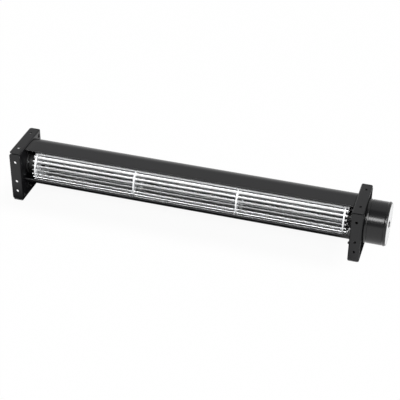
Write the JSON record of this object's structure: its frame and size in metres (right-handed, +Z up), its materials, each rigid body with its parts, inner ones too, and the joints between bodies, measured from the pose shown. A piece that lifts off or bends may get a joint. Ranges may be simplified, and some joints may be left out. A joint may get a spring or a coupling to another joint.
{
  "type": "cross flow fan",
  "caption": "Long cross flow fan: folded black end brackets, sheet scroll, bladed aluminium impeller, can motor.",
  "frame": {"origin": "middle of the fan's overall length and depth, on the plane its bottom flanges stand on", "axes": "+X along the impeller's axis towards the motor, +Y from the open front to the back, +Z up"},
  "size_m": [0.4176, 0.0578, 0.061],
  "materials": {
    "black_steel": "satin black powder coat",
    "black_screws": "black oxide",
    "bright_aluminium": "bright rolled",
    "black_moulding": "moulded satin",
    "rivets": "plain",
    "ground_steel": "ground",
    "nylon": "natural",
    "rubber": "matt",
    "bronze": "sintered",
    "black_casting": "black coated casting",
    "gloss_black_can": "gloss black",
    "cap_aluminium": "bright turned",
    "laminated_steel": "stacked laminations",
    "copper_winding": "enamelled wire",
    "ferrite": "sintered",
    "board": "coated laminate"
  },
  "bodies": {
    "frame": {"left_end_bracket": "black_steel", "right_end_bracket": "black_steel", "scroll_sheet": "black_steel", "tongue_sheet": "black_steel", "left_housing_screws": "black_screws", "right_housing_screws": "black_screws", "bearing_holder": "black_moulding", "bearing_rubber_ring": "rubber", "bearing_bush": "bronze", "bearing_retaining_ring": "ground_steel", "bearing_holder_rivets": "rivets", "motor_front_shield": "black_casting", "motor_screws": "black_screws", "motor_front_bush": "bronze", "motor_can": "gloss_black_can", "motor_lead_grommet": "rubber", "motor_end_cap": "cap_aluminium", "motor_rear_bush": "bronze", "motor_stator": "laminated_steel", "motor_coils": "copper_winding", "motor_circuit_board": "board"},
    "impeller": {"left_end_disc": "bright_aluminium", "left_mid_disc": "bright_aluminium", "right_mid_disc": "bright_aluminium", "right_end_disc": "bright_aluminium", "impeller_blades": "bright_aluminium", "left_hub": "black_moulding", "drive_hub": "black_moulding", "left_hub_rivets": "rivets", "drive_hub_rivets": "rivets", "drive_hub_grub_screw": "black_screws", "stub_shaft": "ground_steel", "thrust_washer": "nylon", "motor_rotor_core": "laminated_steel", "motor_magnet_ring": "ferrite", "motor_shaft": "ground_steel"}
  },
  "joints": [
    {"name": "impeller_spin", "type": "hinge", "parent": "frame", "child": "impeller", "pos_m": [-0.0126, -0.0019, 0.0361], "axis": [-1, 0, 0], "continuous": true}
  ]
}
